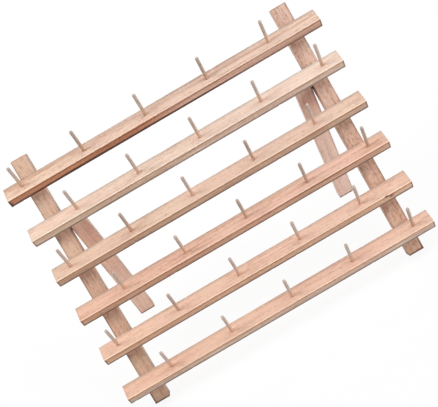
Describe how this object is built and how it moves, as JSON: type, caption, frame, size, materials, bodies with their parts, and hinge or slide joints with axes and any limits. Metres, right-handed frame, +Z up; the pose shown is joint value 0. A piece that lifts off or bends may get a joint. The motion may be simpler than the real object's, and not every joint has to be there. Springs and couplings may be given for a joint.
{
  "type": "thread spool rack",
  "caption": "Folding wooden rack of pegged, angled rails let into two leaning uprights, with swing-out back legs, for holding spools of thread.",
  "frame": {"origin": "on the floor, in the middle of the rack's box across and front to back", "axes": "+X to the right seen from the front, +Y to the back, +Z up; the pegs face -Y and up"},
  "size_m": [0.4, 0.1902, 0.3028],
  "materials": {
    "rail_wood": "sanded, unvarnished",
    "peg_wood": "sanded, unvarnished",
    "upright_wood": "sanded, unvarnished",
    "leg_wood": "sanded, unvarnished",
    "zinc_steel": "bright zinc plating",
    "nylon": "natural nylon"
  },
  "bodies": {
    "rack": {"rail_1": "rail_wood", "rail_2": "rail_wood", "rail_3": "rail_wood", "rail_4": "rail_wood", "rail_5": "rail_wood", "rail_6": "rail_wood", "peg_1_1": "peg_wood", "peg_1_2": "peg_wood", "peg_1_3": "peg_wood", "peg_1_4": "peg_wood", "peg_1_5": "peg_wood", "peg_2_1": "peg_wood", "peg_2_2": "peg_wood", "peg_2_3": "peg_wood", "peg_2_4": "peg_wood", "peg_2_5": "peg_wood", "peg_3_1": "peg_wood", "peg_3_2": "peg_wood", "peg_3_3": "peg_wood", "peg_3_4": "peg_wood", "peg_3_5": "peg_wood", "peg_4_1": "peg_wood", "peg_4_2": "peg_wood", "peg_4_3": "peg_wood", "peg_4_4": "peg_wood", "peg_4_5": "peg_wood", "peg_5_1": "peg_wood", "peg_5_2": "peg_wood", "peg_5_3": "peg_wood", "peg_5_4": "peg_wood", "peg_5_5": "peg_wood", "peg_6_1": "peg_wood", "peg_6_2": "peg_wood", "peg_6_3": "peg_wood", "peg_6_4": "peg_wood", "peg_6_5": "peg_wood", "left_upright": "upright_wood", "left_rail_screws": "zinc_steel", "left_pivot_bolt": "zinc_steel", "left_head_washer": "zinc_steel", "left_pivot_spacer": "nylon", "left_nut_washer": "zinc_steel", "left_pivot_nut": "zinc_steel", "right_upright": "upright_wood", "right_rail_screws": "zinc_steel", "right_pivot_bolt": "zinc_steel", "right_head_washer": "zinc_steel", "right_pivot_spacer": "nylon", "right_nut_washer": "zinc_steel", "right_pivot_nut": "zinc_steel"},
    "left_leg": {"left_leg": "leg_wood"},
    "right_leg": {"right_leg": "leg_wood"}
  },
  "joints": [
    {"name": "left_leg_fold", "type": "hinge", "parent": "rack", "child": "left_leg", "pos_m": [-0.14805, 0.02762, 0.20429], "axis": [-1, 0, 0], "range_deg": [0, 45]},
    {"name": "right_leg_fold", "type": "hinge", "parent": "rack", "child": "right_leg", "pos_m": [0.14805, 0.02762, 0.20429], "axis": [-1, 0, 0], "range_deg": [0, 45]}
  ]
}
